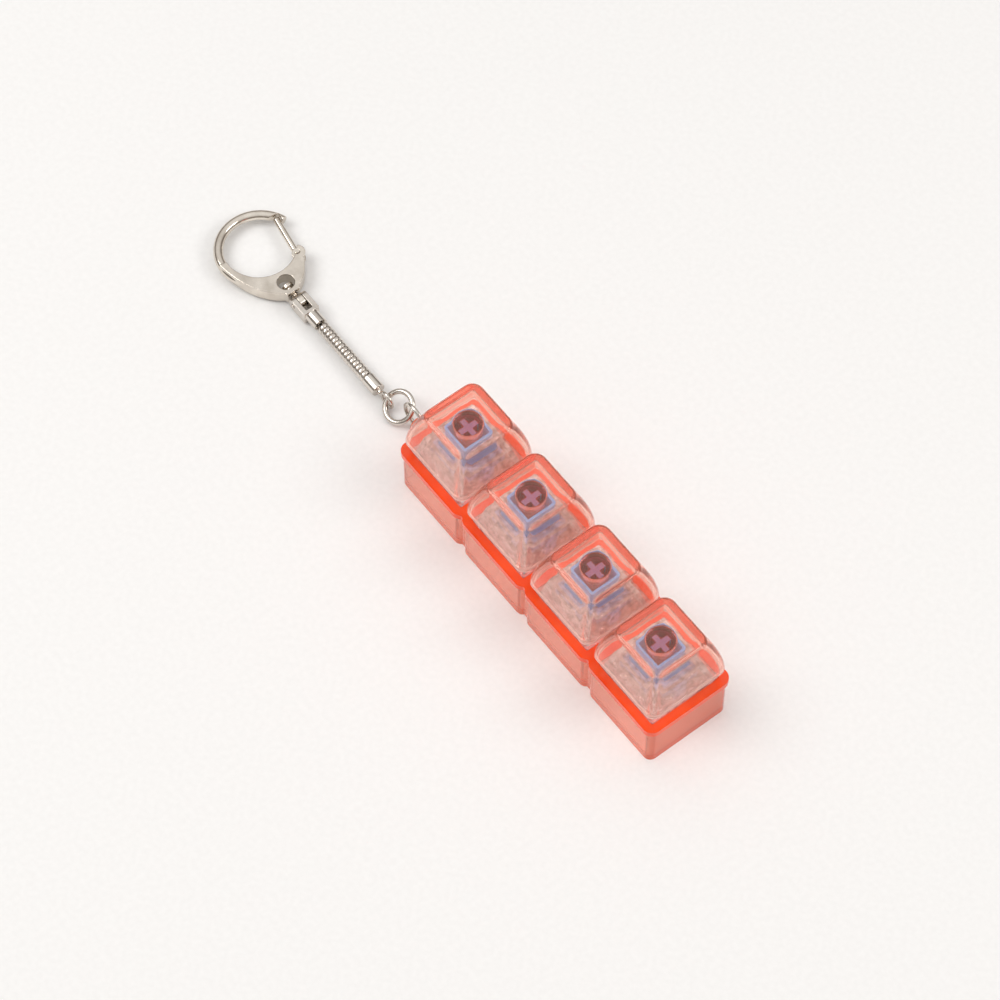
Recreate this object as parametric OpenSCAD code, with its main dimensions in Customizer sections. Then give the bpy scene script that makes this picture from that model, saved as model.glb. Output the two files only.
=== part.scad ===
// Four-key clicker on a snap-hook chain.
// Four clicky cross-stem key switches sit in a clear case, each under a clear
// keycap. A ring, a spring-sheathed link and a swivel snap hook hang on a loop
// at one end of the case.
// Origin: centre of the case's underside. +X runs along the row of keys, away
// from the chain. +Z is up, out of the keycaps. Units are millimetres.

/* [Switch] */
// Side of the square hole that a switch snaps into
switch_w = 14.0; // [13.6:0.1:17]
// How far the switch flange overhangs its hole on each side
flange_lip = 0.8; // [0.6:0.05:1.2]
// Key travel from rest to fully pressed
travel = 3.4; // [2.4:0.1:4.2]
// Housing height above the deck
housing_up = 6.6; // [6.2:0.1:8]
// Housing depth below the deck's top face
housing_down = 5.0; // [5:0.1:6.5]
// Length of the pins and the centre peg below the housing
pin_len = 3.3; // [2.4:0.1:4]
// Height of the stem's cross above the housing
cross_h = 3.6; // [3:0.1:4.4]
// Outer side of the square wall round the cross
box_w = 7.0; // [6.8:0.1:7.6]
// Wire of the return spring
spring_wire = 0.3; // [0.2:0.05:0.35]

/* [Keycap] */
// Skirt thickness of the keycap
cap_wall = 1.1; // [0.9:0.05:1.6]
// Roof thickness of the keycap
cap_roof = 1.5; // [1:0.1:1.8]
// Height of the keycap
cap_h = 9.8; // [8:0.1:11]
// Width of the keycap's top face
cap_top_w = 12.0; // [11:0.1:13.5]
// Outer diameter of the keycap's post
post_d = 5.5; // [5:0.1:5.6]
// Gap between the skirts of neighbouring keycaps
cap_gap = 1.05; // [0.6:0.05:6]

/* [Case] */
// Ledge of the rim beyond the keycap skirts
rim_ledge = 0.7; // [0.3:0.05:2]
// How far the rim stands out from the tray's wall
rim_over = 0.45; // [0.2:0.05:0.6]
// Height of the rim's edge
rim_h = 1.4; // [1.3:0.1:1.8]
// Thickness of the deck that holds the switches
deck_t = 1.5; // [1.2:0.1:1.8]
// Wall thickness of the tray
tray_wall = 1.1; // [0.9:0.05:1.3]
// Floor thickness of the tray
floor_t = 1.4; // [1:0.1:2.4]
// Space left under the switch pins
pin_gap = 1.1; // [0.6:0.1:2]
// Depth of the upright grooves between the cells
groove_d = 0.75; // [0.3:0.05:0.75]

/* [Chain] */
// Thickness of the moulded loop on the end of the case
loop_t = 1.6; // [1.2:0.1:2]
// Reach of that loop from the end wall to its outer edge
loop_reach = 7.3; // [6:0.1:9]
// Outer diameter of the connecting ring
connector_d = 6.5; // [6.2:0.1:8]
// Wire of the connecting ring
connector_wire = 0.9; // [0.7:0.05:1]
// Outer diameter of the chain ring
ring_d = 7.25; // [7:0.05:9]
// Wire of the chain ring
ring_wire = 1.15; // [0.9:0.05:1.2]
// Length of the spring sheath
sheath_l = 15.4; // [8:0.2:30]
// Outer diameter of the spring sheath
sheath_d = 2.7; // [2.4:0.1:3.4]
// Diameter of the yoke's cross pin
yoke_pin_d = 0.9; // [0.7:0.05:1]

/* [Snap hook] */
// Inner diameter of the hook's ring
hook_in_d = 14.3; // [13:0.1:18]
// Bar of the hook's ring
hook_bar = 2.0; // [1.6:0.1:2.4]
// Thickness of the hook's plate
plate_t = 2.8; // [2.8:0.1:3.8]
// Diameter of the gate bar
gate_d = 1.4; // [1.2:0.1:1.5]
// Diameter of the gate's pin
gate_pin_d = 0.9; // [0.7:0.05:1]

/* [Hidden] */
$fn = 64;

// Small named clearances
fit = 0.05;         // pressed or snapped fits, each side
slide = 0.1;        // sliding fits, each side
pin_fit = 0.04;     // radial play of a pin in its bore
link_play = 0.15;   // play between chain pieces that hang in each other
skirt_gap = 0.2;    // air under the skirt of a fully pressed key

// Colours
clear_orange = "salmon";
frame_orange = "orangered";
housing_clear = "mistyrose";
stem_blue = "lightsteelblue";
nickel = "silver";
bronze = "peru";

// Switch sizes that follow from the hole
flange_w = switch_w + 2 * flange_lip;
flange_t = 1.0;
base_w = switch_w - 2 * fit;
housing_wall = 1.0;
inner_w = base_w - 2 * housing_wall;
base_floor_t = 1.2;

// Keycap and row
skirt_room = 0.1;
cap_w = flange_w + 2 * (skirt_room + cap_wall);
cap_corner = 1.8;
cap_bow = 1.6;              // how much the walls bow outwards
pitch = cap_w + cap_gap;

// Case outline
cell_w = cap_w + 2 * rim_ledge;
cell_corner = 2.0;
case_l = 3 * pitch + cell_w;
core_w = cell_w - 2 * groove_d;

// Heights
base_z = floor_t + pin_gap + pin_len;       // underside of the switch housings
deck_z = base_z + housing_down;             // top face of the deck
rim_z = deck_z + flange_t;                  // top face of the rim
tray_top = rim_z - rim_h;
housing_z = deck_z + housing_up;            // top face of the housings
cross_z = housing_z + cross_h;
skirt_z = rim_z + travel + skirt_gap;
cap_z = skirt_z + cap_h;
roof_z = cap_z - cap_roof;
base_floor_z = base_z + base_floor_t;       // floor inside the housings

// Switch base
hub_d = 3.2;
hub_h = 2.0;
peg_d = 4.0;
blade_t = 0.25;             // sheet of the contact pins
blade_w = 1.1;
pin_spots = [[-3.81, 2.54], [2.54, 5.08]];

// Stem
slider_w = inner_w - 3.3;
slider_d = slider_w - 0.4;
shoulder_z = housing_z - housing_wall - fit;
slider_z = shoulder_z - 2.3;
leg_out = inner_w / 2 - 1.05;
leg_t = 1.3;
leg_w = 2.6;
leg_z = base_floor_z + travel + 0.4;
leg_h = slider_z + 0.9 - leg_z;
box_wall = 0.55;
box_drop = 0.2;             // box edge below the tip of the cross
box_floor_t = 0.9;
box_corner = 0.7;
stem_pin_d = 1.9;
spring_seat = slider_z + 0.6;
spring_mean_d = 3.9;
cross_len = 4.0;
cross_x_t = 1.2;
cross_y_t = 1.05;
post_z = housing_z + 0.15;
socket_z = cross_z + 2 * slide;             // top of the socket in the keycap's post

// Contacts and click bar
fixed_blade = [3.0, 4.2];                   // length and height of the fixed contact
leaf_t = 0.2;
leaf_y = slider_d / 2 + 0.35;
leaf_h = 5.0;
leaf_tip = [7.6, 1.0];                      // length and height of the leaf's free arm
click_wire = 0.5;
click_y = -(slider_d / 2 + 0.75);
click_x = inner_w / 2 - 0.7;
click_z = deck_z + 1.1;

// Chain positions
wall_x = -(case_l / 2 - rim_over);          // outer face of the tray's end wall
hang_z = 3.6;                               // height of the moulded loop
chain_z = 2.0;                              // height of the link and the hook
loop_r = 2.5;
loop_x = wall_x - loop_reach + loop_t / 2 + loop_r;
loop_tip_x = loop_x - loop_r;               // middle of the loop's far strand
neck_in = 0.4;
neck_d = loop_t * 1.5;
connector_r = (connector_d - connector_wire) / 2;
connector_x = loop_tip_x + loop_t / 2 + link_play + connector_wire / 2 - connector_r;
ring_r = (ring_d - ring_wire) / 2;
ring_roll = 36;                             // the ring leans on the surface
ring_z = 2.5;
ring_hang_z = 3.0;                          // height at which the two rings cross
ring_slack = 0.6;
ring_turn = asin((ring_hang_z - ring_z) / (ring_r * sin(ring_roll)));
ring_hang_x = connector_x - connector_r + connector_wire / 2 + ring_slack + ring_wire / 2;
ring_x = ring_hang_x - ring_r * cos(ring_turn);
ring_y = -ring_r * sin(ring_turn) * cos(ring_roll);
link_x = ring_x - ring_r * cos(ring_turn);
link_y = 2 * ring_y;

// Link
eye_wire = 0.8;
eye_r = 1.6;
eye_neck = 0.7;
ferrule_d = 2.9;
ferrule_l = 3.4;
ferrule_x = link_x - eye_r - eye_wire / 2 - eye_neck;
sheath_x = ferrule_x - ferrule_l;
yoke_x = sheath_x - sheath_l;
sheath_wire = 0.92;
sheath_turns = floor(sheath_l / sheath_wire) - 1;
core_d = sheath_d - 2 * sheath_wire - 2 * slide;
core_in = 1.6;
yoke_body_l = 2.9;
yoke_w = 3.6;
yoke_h = 3.0;
yoke_slot = 1.5;
yoke_arm = 3.8;
slot_floor = 0.7;
pivot_x = yoke_x - yoke_body_l - yoke_arm;
rivet_out = 0.15;

// Swivel stud
stud_eye_d = 3.0;
stud_eye_t = yoke_slot - 2 * slide;
stud_shank_d = 1.3;
stud_head_d = 2.4;
stud_head_t = 0.8;

// Snap hook
hook_in_r = hook_in_d / 2;
hook_r = (hook_in_d + hook_bar) / 2;
tail_end = pivot_x - stud_eye_d / 2 - 0.5;
tail_l = 1.0;
tail_w = 3.3;
window_r = 1.75;
window_x = tail_end - tail_l - window_r;
web = 1.1;                  // metal between the window and the ring's inside
head_x = window_x + 1.0;    // near face of the stud's head, inside the window
hook_x = window_x - window_r - web - hook_in_r;
hook_y = link_y + 0.84;
tip_a = 108;                // where the ring's bar ends
bar_end_a = 310;            // where the ring's bar runs into the plate
foot_a = -97;               // where the plate leaves the ring's bar
bar_proud = 0.2;            // the bar stands this far out of the plate's edges

// Gate: it turns about gate_root and its far end rests under the ring's tip
gate_root = [hook_x + 0.79 * hook_in_r, hook_y + 0.72 * hook_in_r];
gate_rest = [hook_x - 0.49 * hook_in_r, hook_y + 0.94 * hook_in_r];
gate_len = norm(gate_rest - gate_root);
gate_a = atan2(gate_rest[1] - gate_root[1], gate_rest[0] - gate_root[0]);
gate_room = 0.15;           // air between the gate and the hook
gate_open = 36;             // how far the gate turns inwards, degrees
gate_eye_d = 2.3;
gate_eye_t = 0.9;
gate_neck = 1.0;            // where the gate's bar starts, from its pin
gate_slot = plate_t - 1.1;
gate_lift = 0.05;
ear_d = gate_eye_d + 0.9;
gate_coil_r = 0.62;
gate_wire = 0.16;
gate_coil_h = 0.38;

function key_x(i) = (i - 2.5) * pitch;

// ---- shared shapes ----

// Rectangle with round corners, centred
module round_rect(l, w, r) {
    square([l - 2 * r, w], center = true);
    square([l, w - 2 * r], center = true);
    for (sx = [-1, 1], sy = [-1, 1])
        translate([sx * (l / 2 - r), sy * (w / 2 - r)]) circle(r = r);
}

// Case outline, drawn in by inset: round cells joined by a narrower core
module case_outline(inset) {
    corner = max(cell_corner - inset, 0.3);
    for (i = [1:4]) translate([key_x(i), 0])
        round_rect(cell_w - 2 * inset, cell_w - 2 * inset, corner);
    square([3 * pitch, core_w - 2 * inset], center = true);
}

// Block whose four sides lean: bottom and top sides given as [x, y]
module leaning_block(low, high, z0, z1) {
    front = [[-low[0] / 2, z0], [low[0] / 2, z0], [high[0] / 2, z1], [-high[0] / 2, z1]];
    side = [[-low[1] / 2, z0], [low[1] / 2, z0], [high[1] / 2, z1], [-high[1] / 2, z1]];
    intersection() {
        rotate([90, 0, 0]) linear_extrude(height = 2 * low[1], center = true) polygon(front);
        rotate([90, 0, 90]) linear_extrude(height = 2 * low[0], center = true) polygon(side);
    }
}

// Half width of the keycap's wall at s, from 0 at the skirt to 1 at the top
function cap_half(s, low, high) = low - (low - high) * pow(s, cap_bow);

// Keycap form: walls that bow outwards, low and high are half widths
module cap_form(low, high, z0, z1) {
    steps = 6;
    right = [for (k = [0:steps]) [cap_half(k / steps, low, high), z0 + (z1 - z0) * k / steps]];
    left = [for (k = [steps:-1:0]) [-right[k][0], right[k][1]]];
    intersection() {
        rotate([90, 0, 0]) linear_extrude(height = 3 * low, center = true)
            polygon(concat(right, left));
        rotate([90, 0, 90]) linear_extrude(height = 3 * low, center = true)
            polygon(concat(right, left));
    }
}

// Wire helix along +Z as one closed tube: mean radius, wire radius, height, turns
module coil(mean_r, wire_r, height, turns, per_turn, sides) {
    n = round(turns * per_turn);
    pts = [for (i = [0:n], k = [0:sides - 1])
        let (a = 360 * i / per_turn, b = 360 * k / sides, r = mean_r + wire_r * cos(b))
        [r * cos(a), r * sin(a), height * i / n + wire_r * sin(b)]];
    skin = [for (i = [0:n - 1], k = [0:sides - 1])
        let (m = (k + 1) % sides, a = i * sides, b = (i + 1) * sides)
        each [[a + k, b + k, b + m], [a + k, b + m, a + m]]];
    low = [for (k = [1:sides - 2]) [0, k, k + 1]];
    high = [for (k = [1:sides - 2]) [n * sides, n * sides + k + 1, n * sides + k]];
    polyhedron(points = pts, faces = concat(skin, low, high), convexity = 10);
}

// Closed ring of round wire lying in the XY plane
module wire_ring(mean_r, wire_d) {
    rotate_extrude() translate([mean_r, 0]) circle(d = wire_d, $fn = 32);
}

// Round bar along -X from its near end
module bar_x(x0, length, d) {
    translate([x0, 0, 0]) rotate([0, -90, 0]) cylinder(d = d, h = length);
}

// ---- case ----

module case_tray() color(clear_orange) {
    difference() {
        linear_extrude(height = tray_top) case_outline(rim_over);
        translate([0, 0, floor_t]) linear_extrude(height = tray_top)
            case_outline(rim_over + tray_wall);
    }
    translate([loop_x, 0, hang_z]) wire_ring(loop_r, loop_t);
    translate([0, 0, hang_z])
        bar_x(wall_x + neck_in, wall_x + neck_in - loop_x - loop_r, neck_d);
}

module top_frame() color(frame_orange) {
    difference() {
        union() {
            translate([0, 0, tray_top]) linear_extrude(height = rim_h) case_outline(0);
            translate([0, 0, deck_z - deck_t]) linear_extrude(height = deck_t)
                case_outline(rim_over + tray_wall + fit);
        }
        for (i = [1:4]) translate([key_x(i), 0, 0]) {
            translate([0, 0, deck_z]) linear_extrude(height = 2 * flange_t)
                square(flange_w + 2 * slide, center = true);
            translate([0, 0, deck_z - 2 * deck_t]) linear_extrude(height = 3 * deck_t)
                square(switch_w, center = true);
        }
    }
}

// ---- switches ----

module switch_base() color(housing_clear) {
    hub_bore = stem_pin_d + 4 * pin_fit;
    peg_z = base_z - pin_len;
    difference() {
        union() {
            translate([0, 0, base_z]) linear_extrude(height = housing_down)
                round_rect(base_w, base_w, 0.5);
            translate([0, 0, deck_z]) linear_extrude(height = flange_t)
                round_rect(flange_w, flange_w, 0.6);
        }
        translate([0, 0, base_floor_z]) linear_extrude(height = 2 * housing_down)
            square(inner_w, center = true);
        translate([0, 0, base_z - 1]) cylinder(d = hub_bore, h = base_floor_t + 2);
        for (p = pin_spots) translate([p[0], p[1], base_z])
            cube([blade_w + 2 * slide, blade_t + 2 * slide, 3 * base_floor_t], center = true);
    }
    difference() {
        union() {
            translate([0, 0, peg_z]) cylinder(d = peg_d, h = pin_len + base_floor_t / 2);
            translate([0, 0, base_z]) cylinder(d = hub_d, h = base_floor_t + hub_h);
        }
        translate([0, 0, peg_z + 0.8]) cylinder(d = hub_bore, h = pin_len + base_floor_t + hub_h);
    }
}

module switch_top() color(housing_clear) {
    top_z0 = deck_z + flange_t;
    roof_x = 2 * leg_out + 2 * housing_wall - 0.4;
    roof_y = slider_d + 2 * housing_wall + 0.6;
    lamp_window = [4.6, 3.6, 2.4];
    difference() {
        leaning_block([switch_w, switch_w], [roof_x, roof_y], top_z0, housing_z);
        leaning_block([inner_w + slide, inner_w + slide],
            [roof_x - 2 * housing_wall, roof_y - 2 * housing_wall],
            top_z0 - 0.001, housing_z - housing_wall);
        translate([0, 0, deck_z]) linear_extrude(height = 2 * housing_up)
            square(box_w + 2 * slide, center = true);
        translate([0, -switch_w / 2, housing_z]) cube(lamp_window, center = true);
    }
}

module contacts() color(bronze) {
    moving = pin_spots[0];
    fixed = pin_spots[1];
    for (p = pin_spots) translate([p[0] - blade_w / 2, p[1] - blade_t / 2, base_z - pin_len])
        cube([blade_w, blade_t, pin_len + base_floor_t + blade_t]);
    translate([fixed[0] - blade_w / 2, fixed[1] - blade_t / 2, base_floor_z])
        cube([fixed_blade[0], blade_t, fixed_blade[1]]);
    // spring leaf: foot, upright and free arm
    translate([moving[0] - blade_w / 2, moving[1], base_floor_z])
        cube([blade_w, leaf_y - moving[1], blade_t]);
    translate([moving[0] - blade_w / 2, leaf_y - leaf_t, base_floor_z])
        cube([blade_w, leaf_t, leaf_h]);
    translate([moving[0] - blade_w / 2, leaf_y - leaf_t, base_floor_z + leaf_h - leaf_tip[1]])
        cube([leaf_tip[0], leaf_t, leaf_tip[1]]);
}

// Thin wire bar that the stem flicks past, anchored in two corners of the base
module click_bar() color(nickel) {
    translate([click_x, click_y, click_z]) rotate([0, -90, 0])
        cylinder(d = click_wire, h = 2 * click_x);
    for (s = [-1, 1]) {
        translate([s * click_x, click_y, click_z]) sphere(d = click_wire);
        translate([s * click_x, click_y, base_floor_z])
            cylinder(d = click_wire, h = click_z - base_floor_z);
    }
}

module return_spring() color(nickel)
    translate([0, 0, base_floor_z + spring_wire / 2])
        coil(spring_mean_d / 2, spring_wire / 2 - 0.005,
            spring_seat - base_floor_z - spring_wire, 8, 14, 6);

module key_stem() color(stem_blue) {
    box_in = box_w - 2 * box_wall;
    box_floor_z = post_z - slide;
    cross_h_all = cross_z - box_floor_z + box_floor_t / 2;
    difference() {
        union() {
            translate([0, 0, slider_z]) linear_extrude(height = shoulder_z - slider_z)
                square([slider_w, slider_d], center = true);
            translate([0, 0, slider_z]) linear_extrude(height = cross_z - box_drop - slider_z)
                round_rect(box_w, box_w, box_corner);
            for (s = [-1, 1]) translate([s * (leg_out - leg_t / 2), 0, leg_z])
                linear_extrude(height = leg_h) square([leg_t, leg_w], center = true);
        }
        translate([0, 0, box_floor_z]) linear_extrude(height = 2 * cross_h)
            round_rect(box_in, box_in, box_corner / 2);
        translate([0, 0, slider_z - 1])
            cylinder(d = spring_mean_d + 2 * spring_wire, h = 1 + spring_seat - slider_z);
    }
    translate([0, 0, box_floor_z - box_floor_t / 2]) linear_extrude(height = cross_h_all) {
        square([cross_len, cross_y_t], center = true);
        square([cross_x_t, cross_len], center = true);
    }
    translate([0, 0, base_floor_z + travel / 6])
        cylinder(d = stem_pin_d, h = spring_seat - base_floor_z);
}

module keycap() color(clear_orange) {
    inner_low = cap_w / 2 - cap_wall;
    inner_high = cap_top_w / 2 - cap_wall - 0.2;
    difference() {
        union() {
            difference() {
                intersection() {
                    cap_form(cap_w / 2, cap_top_w / 2, skirt_z, cap_z);
                    translate([0, 0, skirt_z - 1]) linear_extrude(height = cap_h + 2)
                        round_rect(cap_w, cap_w, cap_corner);
                }
                cap_form(inner_low, inner_high, skirt_z - 0.001, roof_z);
            }
            translate([0, 0, post_z]) cylinder(d = post_d, h = roof_z - post_z + cap_roof / 2);
        }
        translate([0, 0, post_z - 1]) linear_extrude(height = socket_z - post_z + 1) {
            square([cross_len + 2 * fit, cross_y_t + 2 * fit], center = true);
            square([cross_x_t + 2 * fit, cross_len + 2 * fit], center = true);
        }
    }
}

// ---- chain ----

module connector_ring() color(nickel)
    translate([connector_x, 0, hang_z]) rotate([90, 0, 0]) wire_ring(connector_r, connector_wire);

module chain_ring() color(nickel)
    translate([ring_x, ring_y, ring_z]) rotate([ring_roll, 0, 0]) wire_ring(ring_r, ring_wire);

module lower_ferrule() color(nickel) translate([0, link_y, chain_z]) {
    nose_x = link_x - eye_r;
    translate([link_x, 0, 0]) rotate([90, 0, 0]) wire_ring(eye_r, eye_wire);
    difference() {
        union() {
            bar_x(ferrule_x, ferrule_l, ferrule_d);
            bar_x(nose_x, nose_x - ferrule_x + 0.4, eye_wire * 1.5);
        }
        bar_x(sheath_x + core_in, 2 * core_in, core_d + 2 * fit);
    }
}

module spring_sheath() color(nickel)
    translate([sheath_x - sheath_wire / 2, link_y, chain_z]) rotate([0, -90, 0])
        coil((sheath_d - sheath_wire) / 2, sheath_wire / 2 - 0.01,
            sheath_l - sheath_wire, sheath_turns, 18, 8);

module core_wire() color(nickel) translate([0, link_y, chain_z])
    bar_x(sheath_x + core_in - slide, sheath_l + 2 * core_in - 2 * slide, core_d);

module yoke() color(nickel) translate([0, link_y, chain_z]) {
    arm_x = yoke_x - yoke_body_l;
    slot_l = yoke_arm + yoke_h - slot_floor;
    difference() {
        union() {
            bar_x(yoke_x, yoke_body_l, ferrule_d);
            translate([(arm_x + pivot_x) / 2, 0, 0]) cube([yoke_arm, yoke_w, yoke_h], center = true);
            translate([pivot_x, 0, 0]) rotate([90, 0, 0]) cylinder(d = yoke_h, h = yoke_w, center = true);
        }
        translate([arm_x - slot_floor - slot_l / 2, 0, 0])
            cube([slot_l, yoke_slot, 2 * yoke_h], center = true);
        translate([pivot_x, 0, 0]) rotate([90, 0, 0])
            cylinder(d = yoke_pin_d + 2 * pin_fit, h = 2 * yoke_w, center = true);
        bar_x(yoke_x + 1, core_in + 1, core_d + 2 * fit);
    }
}

module yoke_pin() color(nickel) translate([pivot_x, link_y, chain_z]) rotate([90, 0, 0])
    cylinder(d = yoke_pin_d, h = yoke_w + 2 * rivet_out, center = true);

module swivel_stud() color(nickel) translate([0, link_y, chain_z]) {
    shank_x = pivot_x - stud_eye_d / 2 + 0.3;
    difference() {
        union() {
            translate([pivot_x, 0, 0]) rotate([90, 0, 0])
                cylinder(d = stud_eye_d, h = stud_eye_t, center = true);
            bar_x(shank_x, shank_x - head_x + stud_head_t / 2, stud_shank_d);
        }
        translate([pivot_x, 0, 0]) rotate([90, 0, 0])
            cylinder(d = yoke_pin_d + 2 * pin_fit, h = 2 * yoke_w, center = true);
    }
    bar_x(head_x, stud_head_t, stud_head_d);
}

// Point at t on the curve that leaves a towards b and arrives at c
function bow(a, b, c, t) = (1 - t) * (1 - t) * a + 2 * t * (1 - t) * b + t * t * c;

// Plate outline of the hook between its ring and its tail
module hook_plate() {
    at = [hook_x, hook_y];
    out = hook_r + hook_bar / 2 - bar_proud;
    steps = 8;
    foot = at + out * [cos(foot_a), sin(foot_a)];
    hip = at + hook_in_r * [1.17, -1.13];
    brow = at + hook_in_r * [1.05, 0.76];
    waist = at + hook_in_r * [1.55, 0.5];
    tail = [tail_end - 0.6, link_y];
    low = [for (k = [0:steps]) bow(foot, hip, tail - [0, tail_w / 2], k / steps)];
    high = [for (k = [0:steps]) bow(tail + [0, tail_w / 2], waist, brow, k / steps)];
    difference() {
        union() {
            polygon(concat(low, high, [gate_root, at]));
            translate(gate_root) circle(d = ear_d);
            translate([tail_end - 1, link_y]) round_rect(2, tail_w + 0.1, 0.5);
        }
        translate(at) circle(r = hook_in_r + bar_proud);
    }
}

module snap_hook() color(nickel) {
    cut_l = gate_len + gate_d / 2 + gate_room;
    difference() {
        union() {
            translate([hook_x, hook_y, chain_z]) rotate([0, 0, tip_a])
                rotate_extrude(angle = bar_end_a - tip_a)
                    translate([hook_r, 0]) circle(d = hook_bar, $fn = 32);
            translate([0, 0, chain_z - plate_t / 2]) linear_extrude(height = plate_t) hook_plate();
        }
        translate([window_x, link_y, chain_z - plate_t]) cylinder(r = window_r, h = 2 * plate_t);
        translate([0, link_y, chain_z]) bar_x(tail_end + 1, tail_l + 2, stud_shank_d + 2 * pin_fit);
        translate([gate_root[0], gate_root[1], chain_z]) {
            cylinder(d = ear_d + 0.6, h = gate_slot, center = true);
            cylinder(d = gate_pin_d + 2 * pin_fit, h = 2 * plate_t, center = true);
            // flat under the ring's tip where the gate comes to rest
            rotate([0, 0, gate_a]) translate([gate_len / 2, -gate_d / 2 - gate_room, -hook_bar])
                cube([cut_l - gate_len / 2, 3 * gate_d, 2 * hook_bar]);
        }
    }
}

module gate() color(nickel) translate([gate_root[0], gate_root[1], chain_z]) {
    difference() {
        union() {
            translate([0, 0, (gate_slot - gate_eye_t) / 2 - slide])
                cylinder(d = gate_eye_d, h = gate_eye_t, center = true);
            rotate([0, 0, gate_a]) translate([gate_neck, 0, gate_lift]) rotate([0, 90, 0])
                cylinder(d = gate_d, h = gate_len - gate_neck);
        }
        cylinder(d = gate_pin_d + 2 * pin_fit, h = 2 * plate_t, center = true);
    }
    rotate([0, 0, gate_a]) translate([gate_len, 0, gate_lift]) sphere(d = gate_d, $fn = 32);
}

module gate_pin() color(nickel) translate([gate_root[0], gate_root[1], chain_z])
    cylinder(d = gate_pin_d, h = plate_t + 2 * rivet_out, center = true);

module gate_spring() color(nickel)
    translate([gate_root[0], gate_root[1], chain_z - gate_slot / 2 + gate_wire])
        coil(gate_coil_r, gate_wire / 2, gate_coil_h, 2, 14, 6);

// ---- nodes ----

module at_key(i) translate([key_x(i), 0, 0]) children();

case_tray();
top_frame();
at_key(1) switch_base();  // switch_base_1
at_key(2) switch_base();  // switch_base_2
at_key(3) switch_base();  // switch_base_3
at_key(4) switch_base();  // switch_base_4
at_key(1) switch_top();  // switch_top_1
at_key(2) switch_top();  // switch_top_2
at_key(3) switch_top();  // switch_top_3
at_key(4) switch_top();  // switch_top_4
at_key(1) contacts();  // contacts_1
at_key(2) contacts();  // contacts_2
at_key(3) contacts();  // contacts_3
at_key(4) contacts();  // contacts_4
at_key(1) click_bar();  // click_bar_1
at_key(2) click_bar();  // click_bar_2
at_key(3) click_bar();  // click_bar_3
at_key(4) click_bar();  // click_bar_4
at_key(1) return_spring();  // return_spring_1
at_key(2) return_spring();  // return_spring_2
at_key(3) return_spring();  // return_spring_3
at_key(4) return_spring();  // return_spring_4
at_key(1) key_stem();  // key_stem_1
at_key(2) key_stem();  // key_stem_2
at_key(3) key_stem();  // key_stem_3
at_key(4) key_stem();  // key_stem_4
at_key(1) keycap();  // keycap_1
at_key(2) keycap();  // keycap_2
at_key(3) keycap();  // keycap_3
at_key(4) keycap();  // keycap_4
connector_ring();
chain_ring();
lower_ferrule();
spring_sheath();
core_wire();
yoke();
yoke_pin();
swivel_stud();
snap_hook();
gate();
gate_pin();
gate_spring();
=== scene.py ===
import math
import bmesh
import bpy
from mathutils import Matrix, Vector


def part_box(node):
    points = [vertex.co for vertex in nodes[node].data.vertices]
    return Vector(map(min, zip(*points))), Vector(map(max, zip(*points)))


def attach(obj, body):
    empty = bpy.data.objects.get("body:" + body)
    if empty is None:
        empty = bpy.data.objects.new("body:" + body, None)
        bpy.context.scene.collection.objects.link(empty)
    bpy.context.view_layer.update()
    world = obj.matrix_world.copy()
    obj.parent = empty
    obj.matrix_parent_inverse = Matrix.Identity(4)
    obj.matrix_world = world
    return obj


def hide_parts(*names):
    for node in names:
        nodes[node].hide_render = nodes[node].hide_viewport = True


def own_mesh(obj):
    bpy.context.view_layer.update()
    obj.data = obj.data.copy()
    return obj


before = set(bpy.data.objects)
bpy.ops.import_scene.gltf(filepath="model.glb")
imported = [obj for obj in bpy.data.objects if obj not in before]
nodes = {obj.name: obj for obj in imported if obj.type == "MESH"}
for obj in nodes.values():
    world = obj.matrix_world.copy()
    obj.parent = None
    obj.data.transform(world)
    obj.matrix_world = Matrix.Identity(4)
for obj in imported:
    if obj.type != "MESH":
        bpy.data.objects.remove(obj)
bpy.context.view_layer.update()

# ---- Camera: it looks down over the far end of the row, with the chain running
# away to the upper left.
turn, tilt, reach = math.radians(52.36), math.radians(60.42), 0.7687
aim = Vector((-0.0228, 0.0030, 0.0))
away = Vector((math.sin(turn) * math.cos(tilt), -math.cos(turn) * math.cos(tilt), math.sin(tilt)))
camera = bpy.data.objects.new("camera", bpy.data.cameras.new("camera"))
camera.data.sensor_width, camera.data.lens = 36, 145.29
camera.data.clip_start = 0.01
camera.location = aim + away * reach
camera.rotation_euler = (math.pi / 2 - tilt, 0, turn)
bpy.context.scene.collection.objects.link(camera)
bpy.context.scene.camera = camera
bpy.context.scene.view_settings.view_transform = "Standard"

# ---- Light: one large soft lamp high on the left and a weaker strip from
# behind, under a pale ceiling that darkens towards the walls for the metal.
def softbox(name, place, size, power, colour):
    lamp = bpy.data.lights.new(name, "AREA")
    lamp.shape, lamp.size, lamp.size_y = "RECTANGLE", size[0], size[1]
    lamp.energy, lamp.color = power, colour
    box = bpy.data.objects.new(name, lamp)
    box.location = place
    box.rotation_euler = (-Vector(place)).to_track_quat("-Z", "Y").to_euler()
    bpy.context.scene.collection.objects.link(box)


softbox("key_lamp", (-0.45, -0.45, 0.75), (0.5, 0.5), 3.2, (1.0, 0.99, 0.97))
softbox("back_lamp", (0.45, 0.45, 0.55), (0.45, 0.25), 1.6, (1.0, 0.98, 0.95))


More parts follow.
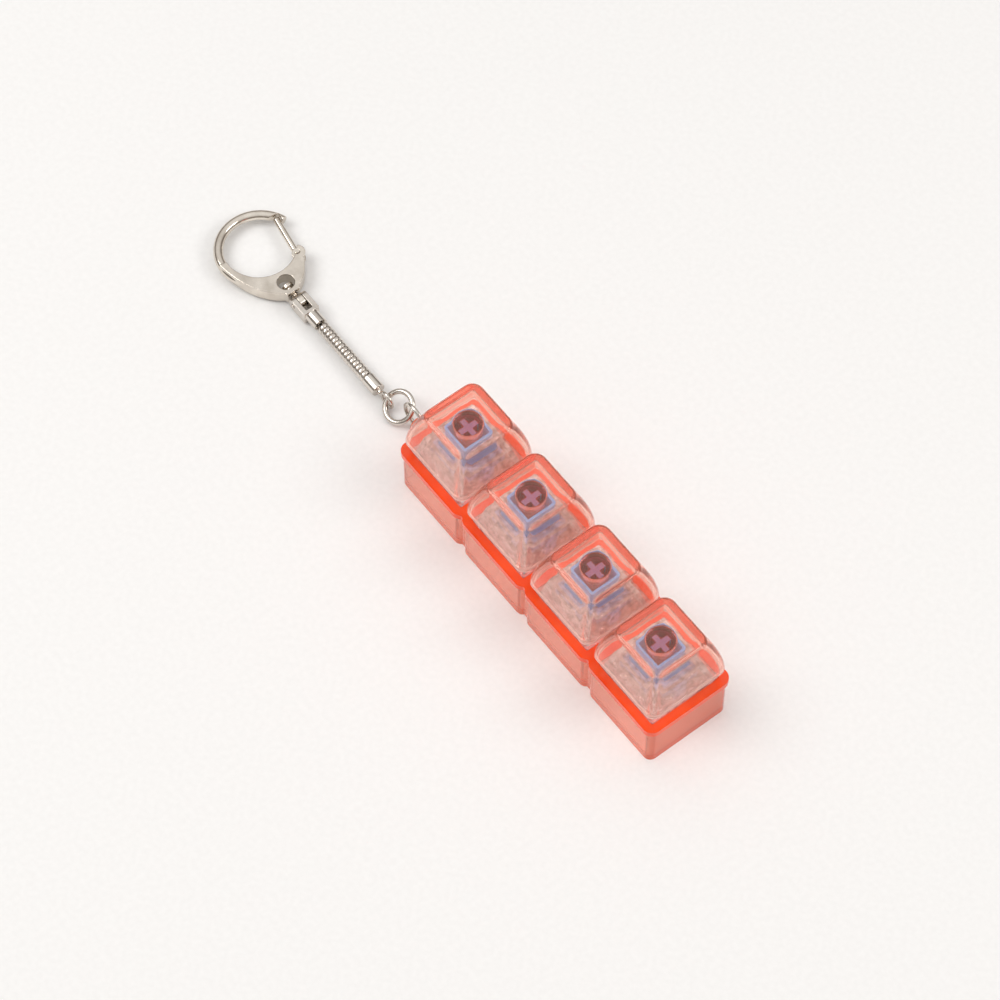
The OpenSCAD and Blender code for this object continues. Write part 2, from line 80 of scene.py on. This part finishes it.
class Flow:
    """A value on its way through a material; sums and products of flows add Math nodes."""

    def __init__(self, tree, socket=None):
        self.tree, self.socket = tree, socket

    def node(self, kind, settings, values, out=0):
        made = self.tree.nodes.new(kind)
        for key, setting in settings.items():
            if key == "stops":
                while len(made.color_ramp.elements) < len(setting):
                    made.color_ramp.elements.new(0.5)
                for stop, (place, colour) in zip(made.color_ramp.elements, setting):
                    stop.position, stop.color = place, colour
            else:
                setattr(made, key, setting)
        for key, value in values.items():
            if isinstance(value, Flow):
                self.tree.links.new(value.socket, made.inputs[key])
            else:
                made.inputs[key].default_value = value
        return Flow(self.tree, made.outputs[out])

    def math(self, operation, first, second):
        return self.node("ShaderNodeMath", {"operation": operation}, {0: first, 1: second})

    def __add__(self, other):
        return self.math("ADD", self, other)

    def __mul__(self, other):
        return self.math("MULTIPLY", self, other)

    def __rsub__(self, other):
        return self.math("SUBTRACT", other, self)

    __radd__, __rmul__ = __add__, __mul__

    def into(self, shader, name):
        self.tree.links.new(self.socket, shader.inputs[name])


room = bpy.data.worlds.new("room")
room.use_nodes = True
sky = Flow(room.node_tree)
here = sky.node("ShaderNodeTexCoord", {}, {}, "Generated")
up = sky.node("ShaderNodeSeparateXYZ", {}, {"Vector": here}, "Z")
sky.node("ShaderNodeValToRGB", {"stops": [
    (0.0, (0.40, 0.39, 0.38, 1)), (0.15, (0.17, 0.15, 0.13, 1)), (0.40, (0.36, 0.33, 0.31, 1)),
    (0.75, (0.80, 0.78, 0.76, 1)), (1.0, (0.94, 0.93, 0.92, 1))]},
    {"Fac": up}).into(room.node_tree.nodes["Background"], "Color")
bpy.context.scene.world = room


# ---- Floor: a plain pale table top of matt card, level with the case's underside
# and wide enough to run out of sight.
def new_material(name, settings):
    material = bpy.data.materials.new(name)
    material.use_nodes = True
    shader = material.node_tree.nodes["Principled BSDF"]
    for key, value in settings.items():
        shader.inputs[key].default_value = value
    return material, shader, Flow(material.node_tree)


def add_mesh(name, build):
    """New piece whose mesh the build function fills in."""
    mesh = bpy.data.meshes.new(name)
    form = bmesh.new()
    build(form)
    form.to_mesh(mesh)
    form.free()
    mesh.shade_smooth()
    piece = bpy.data.objects.new(name, mesh)
    bpy.context.scene.collection.objects.link(piece)
    return piece


card, shader, flow = new_material("table_card", {"Roughness": 0.75, "Specular IOR Level": 0.2})
here = flow.node("ShaderNodeTexCoord", {}, {}, "Object")
grain = flow.node("ShaderNodeTexNoise", {}, {"Vector": here, "Scale": 900.0, "Detail": 3.0}, "Fac")
flow.node("ShaderNodeValToRGB", {"stops": [(0.3, (0.90, 0.90, 0.90, 1)), (0.7, (0.93, 0.93, 0.93, 1))]},
          {"Fac": grain}).into(shader, "Base Color")
table_half, table_gap = 3.0, 0.00005
table_top = add_mesh("table_top", lambda form: bmesh.ops.create_grid(
    form, x_segments=2, y_segments=2, size=table_half))
table_top.location = (0, 0, -table_gap)
table_top.data.materials.append(card)


# ---- Case tray: a clear orange moulding, open at the top, with a loop for the
# chain on one end. Its colour lies in the plastic, so thick places look deeper.
def clear_plastic(name, tint, soak, depth, haze, ripple, glow):
    """Tinted clear moulding: tint colours its skin, soak and depth its inside. The glow
    function gives the share and colour of a diffuse layer over the glass: partly the plastic's own
    scatter, partly painted glow and painted depth laid where its masks put them."""
    plastic, shader, flow = new_material(name, {
        "Transmission Weight": 1.0, "IOR": 1.47, "Specular IOR Level": 0.5})
    here = flow.node("ShaderNodeTexCoord", {}, {}, "Object")
    cloud = flow.node("ShaderNodeTexNoise", {}, {"Vector": here, "Scale": 160.0, "Detail": 4.0}, "Fac")
    pale = tuple(min(1.0, c * 1.04) for c in tint)
    flow.node("ShaderNodeValToRGB", {"stops": [(0.35, tint + (1,)), (0.65, pale + (1,))]},
              {"Fac": cloud}).into(shader, "Base Color")

    smear = flow.node("ShaderNodeTexNoise", {}, {"Vector": here, "Scale": 420.0, "Detail": 5.0}, "Fac")
    rough = haze * 0.5 + smear * haze
    rough.into(shader, "Roughness")
    swell = flow.node("ShaderNodeTexNoise", {}, {"Vector": here, "Scale": 220.0, "Detail": 1.0}, "Fac")
    ripples = flow.node("ShaderNodeBump", {}, {
        "Height": swell, "Strength": ripple, "Distance": 0.0004}, "Normal")
    ripples.into(shader, "Normal")

    lit = flow.tree.nodes.new("ShaderNodeBsdfPrincipled")
    lit.inputs["IOR"].default_value = 1.47
    share, colour = glow(flow, here, cloud)
    colour.into(lit, "Base Color")
    rough.into(lit, "Roughness")
    ripples.into(lit, "Normal")
    mixed = flow.node("ShaderNodeMixShader", {}, {0: share, 1: Flow(flow.tree, shader.outputs[0]),
                                                  2: Flow(flow.tree, lit.outputs[0])})
    output = flow.tree.nodes["Material Output"]
    flow.tree.links.new(mixed.socket, output.inputs["Surface"])
    inside = flow.node("ShaderNodeVolumeAbsorption", {}, {
        "Color": soak + (1,), "Density": depth}, "Volume")
    flow.tree.links.new(inside.socket, output.inputs["Volume"])
    return plastic


def tray_painted_glow(flow, here, cloud):
    """The walls scatter some salmon light of their own; a deeper orange-red painted glow
    is laid on the floor, the base edges and the two end walls, which face along the row."""
    floor_low, floor_high = 0.0010, 0.0024
    end_inside, end_outside = 0.0362, 0.0376
    height = flow.node("ShaderNodeSeparateXYZ", {}, {"Vector": here}, "Z")
    along = flow.node("ShaderNodeSeparateXYZ", {}, {"Vector": here}, "X")
    from_middle = flow.node("ShaderNodeMath", {"operation": "ABSOLUTE"}, {0: along})
    low_painted_glow = flow.node("ShaderNodeMapRange", {"interpolation_type": "SMOOTHSTEP"}, {
        "Value": height, "From Min": floor_low, "From Max": floor_high, "To Min": 1.0, "To Max": 0.0})
    end_painted_glow = flow.node("ShaderNodeMapRange", {"interpolation_type": "SMOOTHSTEP"}, {
        "Value": from_middle, "From Min": end_inside, "From Max": end_outside,
        "To Min": 0.0, "To Max": 1.0})
    # painted glow: the colour deepens to orange-red and the diffuse share rises on the floor band and
    # the end walls
    colour = flow.node("ShaderNodeValToRGB", {"stops": [
        (0.0, (0.92, 0.41, 0.28, 1)), (0.5, (0.88, 0.30, 0.18, 1)), (1.0, (0.70, 0.12, 0.05, 1))]},
        {"Fac": low_painted_glow * 0.5 + end_painted_glow * 0.7 + cloud * 0.2})
    return low_painted_glow * 0.28 + end_painted_glow * 0.34 + cloud * 0.15 + 0.24, colour


def finish_part(node, material, edge, steps=2):
    """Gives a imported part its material, a smooth skin and a small round on its edges."""
    part = nodes[node]
    part.data.materials.clear()
    part.data.materials.append(material)
    turned = part.data.attributes.get("custom_normal")
    if turned:
        part.data.attributes.remove(turned)
    part.data.shade_smooth()
    weld_gap, edge_turn = 1e-6, math.radians(28)
    seam = part.modifiers.new("join_seams", "WELD")
    seam.merge_threshold = weld_gap
    if edge:
        soft = part.modifiers.new("soft_edges", "BEVEL")
        soft.limit_method, soft.angle_limit = "ANGLE", edge_turn
        soft.width, soft.segments, soft.harden_normals = edge, steps, True
    return part


tray_plastic = clear_plastic("tray_plastic", tint=(1.0, 0.86, 0.81), soak=(0.99, 0.36, 0.24),
                             depth=200.0, haze=0.06, ripple=0.05, glow=tray_painted_glow)
finish_part("case_tray", tray_plastic, 0.00025, 3).visible_shadow = False

# ---- Top frame: the brighter orange plate that closes the case and holds the
# four switches; a faint painted orange glow (emission over the whole plate) stands in for the light
# that gathers in its edge.
rim_plastic, shader, flow = new_material("rim_plastic", {
    "Transmission Weight": 0.2, "IOR": 1.47, "Coat Weight": 0.15, "Coat Roughness": 0.06,
    "Emission Color": (1.0, 0.12, 0.02, 1), "Emission Strength": 0.06})
here = flow.node("ShaderNodeTexCoord", {}, {}, "Object")
cloud = flow.node("ShaderNodeTexNoise", {}, {"Vector": here, "Scale": 240.0, "Detail": 4.0}, "Fac")
flow.node("ShaderNodeValToRGB", {"stops": [
    (0.3, (0.84, 0.062, 0.008, 1)), (0.7, (0.90, 0.095, 0.016, 1))]},
    {"Fac": cloud}).into(shader, "Base Color")
(0.10 + cloud * 0.12).into(shader, "Roughness")
finish_part("top_frame", rim_plastic, 0.0003, 3).visible_shadow = False

# ---- Switch housings: clear, slightly frosted mouldings in two halves that snap
# into the frame; sprue marks and flow lines give them a mottled look.
housing, shader, flow = new_material("switch_housing", {
    "Transmission Weight": 0.75, "IOR": 1.5, "Coat Weight": 0.2, "Coat Roughness": 0.1})
here = flow.node("ShaderNodeTexCoord", {}, {}, "Object")
fleck = flow.node("ShaderNodeTexNoise", {}, {"Vector": here, "Scale": 900.0, "Detail": 6.0}, "Fac")
flow.node("ShaderNodeValToRGB", {"stops": [
    (0.38, (0.42, 0.39, 0.39, 1)), (0.5, (0.80, 0.78, 0.78, 1)), (0.60, (0.94, 0.93, 0.93, 1))]},
    {"Fac": fleck}).into(shader, "Base Color")
(0.10 + fleck * 0.25).into(shader, "Roughness")
flow.node("ShaderNodeBump", {}, {"Height": fleck, "Strength": 0.25, "Distance": 0.0002},
          "Normal").into(shader, "Normal")
for key in range(1, 5):
    finish_part(f"switch_base_{key}", housing, 0.0002).visible_shadow = False
    finish_part(f"switch_top_{key}", housing, 0.0003, 3).visible_shadow = False

# ---- Contacts: stamped phosphor-bronze leaves, one fixed and one sprung, pushed
# into slots of the switch base; their colour is streaked along the rolled sheet.
bronze, shader, flow = new_material("contact_bronze", {"Metallic": 1.0})
here = flow.node("ShaderNodeTexCoord", {}, {}, "Object")
roll = flow.node("ShaderNodeMapping", {}, {"Vector": here, "Scale": (4000.0, 4000.0, 300.0)})
line = flow.node("ShaderNodeTexNoise", {}, {"Vector": roll, "Scale": 1.0, "Detail": 3.0}, "Fac")
flow.node("ShaderNodeValToRGB", {"stops": [
    (0.3, (0.42, 0.20, 0.09, 1)), (0.7, (0.62, 0.36, 0.18, 1))]},
    {"Fac": line}).into(shader, "Base Color")
(0.22 + line * 0.2).into(shader, "Roughness")
for key in range(1, 5):
    finish_part(f"contacts_{key}", bronze, 0.00004, 1)


# ---- Return springs and click bars: bright drawn wire. A spring seats on the
# floor of the housing; it is wound at rest and stays with the case, so it does not close up as its key
# goes down.
def nickel_plate(name, dark, light, gloss, wear):
    """Bright plated metal: polished, with faint clouds and fine handling scratches."""
    plate, shader, flow = new_material(name, {"Metallic": 1.0, "IOR": 1.5})
    here = flow.node("ShaderNodeTexCoord", {}, {}, "Object")
    cloud = flow.node("ShaderNodeTexNoise", {}, {"Vector": here, "Scale": 300.0, "Detail": 5.0}, "Fac")
    flow.node("ShaderNodeValToRGB", {"stops": [(0.3, dark + (1,)), (0.7, light + (1,))]},
              {"Fac": cloud}).into(shader, "Base Color")
    drawn = flow.node("ShaderNodeMapping", {}, {
        "Vector": here, "Rotation": (0.4, 0.2, 0.6), "Scale": (900.0, 7000.0, 7000.0)})
    scratch = flow.node("ShaderNodeTexNoise", {}, {"Vector": drawn, "Scale": 1.0, "Detail": 2.0}, "Fac")
    (gloss + cloud * gloss + scratch * wear).into(shader, "Roughness")
    flow.node("ShaderNodeBump", {}, {"Height": scratch, "Strength": 0.06, "Distance": 0.00005},
              "Normal").into(shader, "Normal")
    return plate


def wound_wire(name, start, along, wind, wire, length, turns, sides, steps, flat=1.0):
    """Helix of wire with closed ends, wound about the line along from start. Wire is
    half its width and flat the share of that it has across the coil: below 1 it is rolled."""
    along = Vector(along).normalized()
    across = along.orthogonal().normalized()
    third = along.cross(across)
    count = int(turns * steps)
    pitch = length / turns

    def build(form):
        hoops = []
        for i in range(count + 1):
            a = math.tau * i / steps
            spoke = across * math.cos(a) + third * math.sin(a)
            ahead = (third * math.cos(a) - across * math.sin(a)) * math.tau * wind + along * pitch
            lift = ahead.normalized().cross(spoke)
            middle = Vector(start) + spoke * wind + along * (length * i / count)
            hoops.append([
                form.verts.new(middle + spoke * wire * flat * math.cos(b) + lift * wire * math.sin(b))
                for b in (math.tau * k / sides for k in range(sides))])
        for low, high in zip(hoops, hoops[1:]):
            for k in range(sides):
                form.faces.new((low[k - 1], low[k], high[k], high[k - 1]))
        form.faces.new(hoops[0])
        form.faces.new(reversed(hoops[-1]))
        bmesh.ops.recalc_face_normals(form, faces=form.faces)

    return add_mesh(name, build)


wire_nickel = nickel_plate("drawn_wire", (0.62, 0.60, 0.58), (0.80, 0.78, 0.75), 0.10, 0.10)
wire, wind, turns = 0.00015, 0.00195, 8
for key in range(1, 5):
    finish_part(f"click_bar_{key}", wire_nickel, 0.0)
    low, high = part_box(f"return_spring_{key}")
    base_low, base_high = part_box(f"switch_base_{key}")
    middle_x = (base_low.x + base_high.x) / 2
    spring = wound_wire(f"key_spring_{key}", (middle_x, 0, low.z + wire), (0, 0, 1),
                        wind, wire, high.z - low.z - 2 * wire, turns, sides=10, steps=26)
    spring.data.materials.append(wire_nickel)
    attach(spring, "case")
    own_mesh(spring)
    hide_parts(f"return_spring_{key}")

# ---- Key stems: pale blue sliders with a square collar round the cross that
# takes the keycap; their slightly see-through plastic is satin from the mould.
stem_plastic, shader, flow = new_material("stem_plastic", {
    "IOR": 1.5, "Subsurface Weight": 0.25, "Subsurface Radius": (0.3, 0.6, 1.0),
    "Subsurface Scale": 0.001, "Coat Weight": 0.3, "Coat Roughness": 0.15})
here = flow.node("ShaderNodeTexCoord", {}, {}, "Object")
cloud = flow.node("ShaderNodeTexNoise", {}, {"Vector": here, "Scale": 500.0, "Detail": 4.0}, "Fac")
flow.node("ShaderNodeValToRGB", {"stops": [
    (0.3, (0.07, 0.36, 0.86, 1)), (0.7, (0.12, 0.47, 0.96, 1))]},
    {"Fac": cloud}).into(shader, "Base Color")
(0.28 + cloud * 0.15).into(shader, "Roughness")
for key in range(1, 5):
    finish_part(f"key_stem_{key}", stem_plastic, 0.00012)

# ---- Keycaps: clear orange mouldings with bowed walls, a faintly dished top and
# a round post inside; the post's cross-shaped socket presses onto the stem.
def cap_painted_glow(flow, here, cloud):
    """Walls scatter salmon light; the skirt's lip gets a paler painted glow and the post a wine-red
    painted shade.
    """
    lip_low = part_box("keycap_1")[0].z + 0.0003
    lip_high = lip_low + 0.0006
    stem_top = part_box("key_stem_1")[1].z
    socket_roof = stem_top + 0.0004
    post_reach = 0.0030
    height = flow.node("ShaderNodeSeparateXYZ", {}, {"Vector": here}, "Z")
    flat_spot = flow.node("ShaderNodeVectorMath", {"operation": "MULTIPLY"}, {0: here, 1: (1, 1, 0)})
    radius = flow.node("ShaderNodeVectorMath", {"operation": "LENGTH"}, {0: flat_spot}, "Value")
    # painted glow: the skirt's lip is paler and scatters more
    lip = flow.node("ShaderNodeMapRange", {"interpolation_type": "SMOOTHSTEP"}, {
        "Value": height, "From Min": lip_low, "From Max": lip_high, "To Min": 1.0, "To Max": 0.0})
    near = flow.node("ShaderNodeMath", {"operation": "LESS_THAN"}, {0: radius, 1: post_reach})
    below_stem = flow.node("ShaderNodeMath", {"operation": "LESS_THAN"}, {0: height, 1: stem_top})
    below_roof = flow.node("ShaderNodeMath", {"operation": "LESS_THAN"}, {0: height, 1: socket_roof})
    # painted shade: the post and the roof over the socket turn wine red, for the depth seen down the
    # solid post
    post = near * below_stem
    core = near * below_roof
    wall = flow.node("ShaderNodeValToRGB", {"stops": [
        (0.3, (0.94, 0.42, 0.30, 1)), (0.7, (0.98, 0.53, 0.41, 1))]}, {"Fac": cloud})
    paler = flow.node("ShaderNodeMix", {"data_type": "RGBA"}, {
        0: lip, 6: wall, 7: (0.92, 0.66, 0.60, 1)}, 2)
    colour = flow.node("ShaderNodeMix", {"data_type": "RGBA"}, {
        0: core, 6: paler, 7: (0.40, 0.05, 0.09, 1)}, 2)
    return lip * 0.30 + post * 0.42 + core * 0.30 + cloud * 0.10 + 0.06, colour


cap_plastic = clear_plastic("cap_plastic", tint=(1.0, 0.93, 0.90), soak=(0.99, 0.42, 0.26),
                            depth=210.0, haze=0.03, ripple=0.04, glow=cap_painted_glow)
corner_steps, side_steps = 9, 6


def square_round(half, corner):
    """Points round a square with round corners, close together where it turns."""
    flat = half - corner
    points = []
    for quarter in range(4):
        spin = Matrix.Rotation(quarter * math.pi / 2, 2)
        points += [spin @ Vector((half, flat * (2 * k / side_steps - 1))) for k in range(side_steps)]
        points += [spin @ (Vector((flat, flat)) + corner * Vector((math.cos(a), math.sin(a))))
                   for a in (math.pi / 2 * k / corner_steps for k in range(corner_steps))]
    return points


def shell_sizes(cap_low, cap_high):
    """Half width, corner radius and height of each hoop: up the outside, over the dished
    top, then up the inside to the roof."""
    half_low, half_high = (cap_high.x - cap_low.x) / 2, 0.0060
    height = cap_high.z - cap_low.z
    wall, roof, lip = 0.0011, 0.0015, 0.00018
    bow, top_ease, top_inset = 1.7, 0.0003, 0.0002
    lip_corner, skirt_corner, corner_gain = 0.0015, 0.0019, 0.0006
    top_round, top_corner, corner_loss = 0.0009, 0.0025, 0.0007
    dish, dish_corner = 0.00025, 0.35
    wall_rises, round_rises = 11, 6

    def half_at(z, low, high, span):
        share = max(0.0, min(1.0, (z - cap_low.z) / span))
        return low - (low - high) * share ** bow

    outside = [(half_low - wall / 2, lip_corner, cap_low.z), (half_low - lip, skirt_corner, cap_low.z),
               (half_low, skirt_corner, cap_low.z + lip)]
    top_turn = cap_high.z - top_round
    for k in range(1, wall_rises + 1):
        z = cap_low.z + lip + (top_turn - cap_low.z - lip) * k / wall_rises
        outside.append((half_at(z, half_low, half_high + top_ease, height),
                        skirt_corner + corner_gain * k / wall_rises, z))
    edge = half_at(top_turn, half_low, half_high + top_ease, height)
    for k in range(1, round_rises + 1):
        a = math.pi / 2 * k / round_rises
        outside.append((edge - top_round * (1 - math.cos(a)) - top_inset * k / round_rises,
                        top_corner - corner_loss * k / round_rises, top_turn + top_round * math.sin(a)))
    rest = edge - top_round - top_inset
    for share in (0.8, 0.55, 0.3, 0.1):
        outside.append((rest * share, rest * share * dish_corner + top_inset * share,
                        cap_high.z - dish * (1 - share ** 2)))

    roof_z, roof_round = cap_high.z - roof, 0.0005
    inner_low, inner_high = half_low - wall, half_high - wall + top_inset
    inner_corner, corner_at_low, corner_at_roof = 0.0011, 0.0010, 0.0007
    inner_rises, roof_rises = 10, 3
    inside = [(inner_low + lip, inner_corner, cap_low.z)]
    for k in range(0, inner_rises + 1):
        z = cap_low.z + lip + (roof_z - roof_round - cap_low.z - lip) * k / inner_rises
        inside.append((half_at(z, inner_low, inner_high, height - roof),
                       corner_at_low - (corner_at_low - corner_at_roof) * k / inner_rises, z))
    edge = inside[-1][0]
    for k in range(1, roof_rises + 1):
        a = math.pi / 2 * k / roof_rises
        inside.append((edge - roof_round * (1 - math.cos(a)), corner_at_roof,
                       roof_z - roof_round * (1 - math.sin(a))))
    return outside, inside, roof_z


def keycap(key):
    cap_low, cap_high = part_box(f"keycap_{key}")
    outside, inside, roof_z = shell_sizes(cap_low, cap_high)
    post, post_foot, post_edge = 0.00275, 0.0004, 0.0002
    post_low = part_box(f"switch_top_{key}")[1].z + 0.00015
    socket_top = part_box(f"key_stem_{key}")[1].z + 0.0002
    arm, arms_x, arms_y = 0.00205, 0.000625, 0.000575
    spins = [math.atan2(p.y, p.x) for p in square_round(0.0075, 0.0011)]

    def cross(a):
        """Distance from the centre to the edge of the cross-shaped socket at angle a."""
        c, s = abs(math.cos(a)) + 1e-9, abs(math.sin(a)) + 1e-9
        bar = min(arm / c, arms_y / s)
        upright = min(arms_x / c, arm / s)
        return max(bar, upright)

    def build(form):
        def verts(points):
            return [form.verts.new(p) for p in points]

        def skin(low, high):
            for k in range(len(low)):
                form.faces.new((low[k - 1], low[k], high[k], high[k - 1]))

        def shell(sizes):
            return [verts([Vector((p.x, p.y, z)) for p in square_round(half, corner)])
                    for half, corner, z in sizes]

        def rounds(radius, z):
            return verts([Vector((math.cos(a) * radius, math.sin(a) * radius, z)) for a in spins])

        outer = shell(outside)
        for low, high in zip(outer, outer[1:]):
            skin(low, high)
        form.faces.new(outer[-1])
        inner = shell(inside)
        skin(inner[0], outer[0])
        for low, high in zip(inner, inner[1:]):
            skin(high, low)
        down = [rounds(post + post_foot * (1 - math.sin(b)), roof_z - post_foot * (1 - math.cos(b)))
                for b in (math.pi / 2 * k / 3 for k in range(4))]
        down.append(rounds(post, post_low + post_edge))
        down.append(rounds(post - post_edge, post_low))
        socket = [verts([Vector((math.cos(a) * cross(a), math.sin(a) * cross(a), z)) for a in spins])
                  for z in (post_low, socket_top)]
        chain = [inner[-1]] + down + socket
        for low, high in zip(chain, chain[1:]):
            skin(high, low)
        form.faces.new(socket[-1])
        bmesh.ops.recalc_face_normals(form, faces=form.faces)

    cap = add_mesh(f"cap_{key}", build)
    cap.location.x = (cap_low.x + cap_high.x) / 2
    cap.data.materials.append(cap_plastic)
    cap.data.set_sharp_from_angle(angle=math.radians(40))
    cap.visible_shadow = False
    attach(cap, f"key_{key}")
    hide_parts(f"keycap_{key}")


for key in range(1, 5):
    keycap(key)

# ---- Chain rings: two closed rings of bent wire, nickel plated. The smaller one
# runs through the moulded loop and the larger one hangs in it.
chain_nickel = nickel_plate("chain_nickel", (0.60, 0.55, 0.50), (0.80, 0.75, 0.69), 0.07, 0.08)
finish_part("connector_ring", chain_nickel, 0.0)
finish_part("chain_ring", chain_nickel, 0.0)


# ---- Ferrule and yoke: turned and drilled ends crimped onto the core wire. The
# metal is cast soft at its edges, so each is drawn over its packed form.
def cast_part(name, body, material, voxel, rounds, *members):
    """Soft-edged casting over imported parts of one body: voxel is the grain of its mesh
    and rounds the passes that ease its edges."""
    form = bmesh.new()
    for member in members:
        form.from_mesh(nodes[member].data)
    bmesh.ops.remove_doubles(form, verts=form.verts, dist=1e-6)
    mesh = bpy.data.meshes.new(name)
    form.to_mesh(mesh)
    form.free()
    piece = bpy.data.objects.new(name, mesh)
    bpy.context.scene.collection.objects.link(piece)
    skin = piece.modifiers.new("skin", "REMESH")
    skin.mode, skin.voxel_size, skin.use_smooth_shade = "VOXEL", voxel, True
    ease = piece.modifiers.new("ease", "SMOOTH")
    ease.factor, ease.iterations = 0.5, rounds
    bpy.context.view_layer.update()
    graph = bpy.context.evaluated_depsgraph_get()
    shaped = bpy.data.meshes.new_from_object(piece.evaluated_get(graph))
    piece.modifiers.clear()
    piece.data = shaped
    shaped.name = name
    shaped.materials.clear()
    shaped.materials.append(material)
    shaped.shade_smooth()
    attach(piece, body)
    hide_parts(*members)
    return piece


cast_part("crimp_ferrule", "link", chain_nickel, 0.00007, 4, "lower_ferrule")
cast_part("link_yoke", "link", chain_nickel, 0.00007, 4, "yoke")
finish_part("yoke_pin", chain_nickel, 0.0001)
finish_part("core_wire", wire_nickel, 0.0)

# ---- Spring sheath: rolled steel wire, nickel plated and wound close over the core
# wire, held between the ferrule and the yoke; its flats make one long highlight.
low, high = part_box("spring_sheath")
wire, flat, turns = 0.00047, 0.42, 15
middle = Vector((high.x - wire, (low.y + high.y) / 2, (low.z + high.z) / 2))
outer_r = (high.z - low.z) / 2
sheath = wound_wire("wound_sheath", middle, (-1, 0, 0), outer_r - wire * flat, wire,
                    high.x - low.x - 2 * wire, turns, sides=14, steps=36, flat=flat)
sheath.data.materials.append(chain_nickel)
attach(sheath, "link")
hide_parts("spring_sheath")

# ---- Swivel stud and snap hook: zinc castings, tumbled smooth and plated. The
# gate is a straight bar on a cross pin, pushed shut by a small coil.
hook_nickel = nickel_plate("hook_nickel", (0.62, 0.56, 0.49), (0.83, 0.77, 0.69), 0.06, 0.07)
cast_part("swivel", "stud", hook_nickel, 0.00007, 3, "swivel_stud")
cast_part("hook_casting", "hook", hook_nickel, 0.00010, 10, "snap_hook")
cast_part("gate_bar", "gate", hook_nickel, 0.00007, 4, "gate")
finish_part("gate_pin", hook_nickel, 0.0001)
finish_part("gate_spring", wire_nickel, 0.0)
